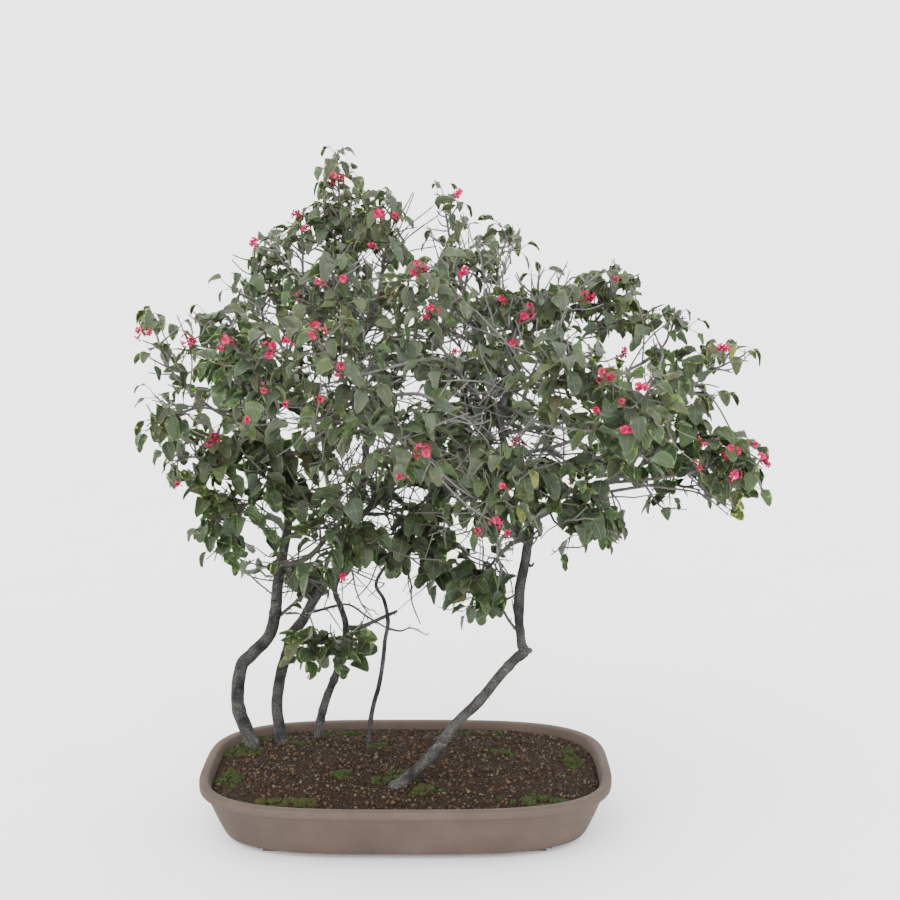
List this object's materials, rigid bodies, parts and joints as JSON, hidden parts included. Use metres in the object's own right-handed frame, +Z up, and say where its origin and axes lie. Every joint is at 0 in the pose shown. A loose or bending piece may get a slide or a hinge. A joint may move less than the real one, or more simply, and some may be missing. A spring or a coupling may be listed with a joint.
{
  "type": "bonsai tree",
  "caption": "Multi-stem flowering jatropha bonsai with a wide leafy crown and rose-red star flowers, growing in a plain shallow oval tray with feet.",
  "frame": {"origin": "centre of the tray's underside, on the surface that the tray stands on", "axes": "+Z up along the tree's height, +X along the tray's length to the right as the picture sees it, +Y away from the viewer"},
  "size_m": [1.2662, 0.8295, 1.3752],
  "materials": {
    "tray": "matte",
    "screen": "matte",
    "soil": "matte",
    "bark": "matte",
    "foliage": "satin",
    "petals": "matte"
  },
  "bodies": {
    "root": {"tray": "tray", "screen_left": "screen", "screen_right": "screen", "soil": "soil", "stem_left": "bark", "stem_middle": "bark", "stem_low": "bark", "stem_thin": "bark", "stem_right": "bark", "spray_left_tip": "foliage", "spray_left_arm": "foliage", "spray_left_low": "foliage", "spray_left_hanging": "foliage", "spray_left_shoulder": "foliage", "spray_left_crest": "foliage", "spray_left_crown": "foliage", "spray_left_front": "foliage", "spray_left_back": "foliage", "spray_peak": "foliage", "spray_small_peak": "foliage", "spray_centre_top": "foliage", "spray_centre_front": "foliage", "spray_centre_back": "foliage", "spray_mid_front": "foliage", "spray_low_centre": "foliage", "spray_crossing": "foliage", "spray_skirt": "foliage", "spray_centre_low": "foliage", "spray_peak_right": "foliage", "spray_crest_right": "foliage", "spray_top_front": "foliage", "spray_right_top": "foliage", "spray_shoulder_right": "foliage", "spray_hook_right": "foliage", "spray_right_lobe": "foliage", "spray_right_front": "foliage", "spray_right_back": "foliage", "spray_far_right": "foliage", "spray_right_low": "foliage", "spray_under_right": "foliage", "spray_trunk_front": "foliage", "spray_low_right": "foliage", "spray_right_centre": "foliage", "spray_back_centre": "foliage", "bloom_1": "petals", "bloom_2": "petals", "bloom_3": "petals", "bloom_4": "petals", "bloom_5": "petals", "bloom_6": "petals", "bloom_7": "petals", "bloom_8": "petals", "bloom_9": "petals", "bloom_10": "petals", "bloom_11": "petals", "bloom_12": "petals", "bloom_13": "petals", "bloom_14": "petals", "bloom_15": "petals", "bloom_16": "petals"}
  },
  "joints": []
}
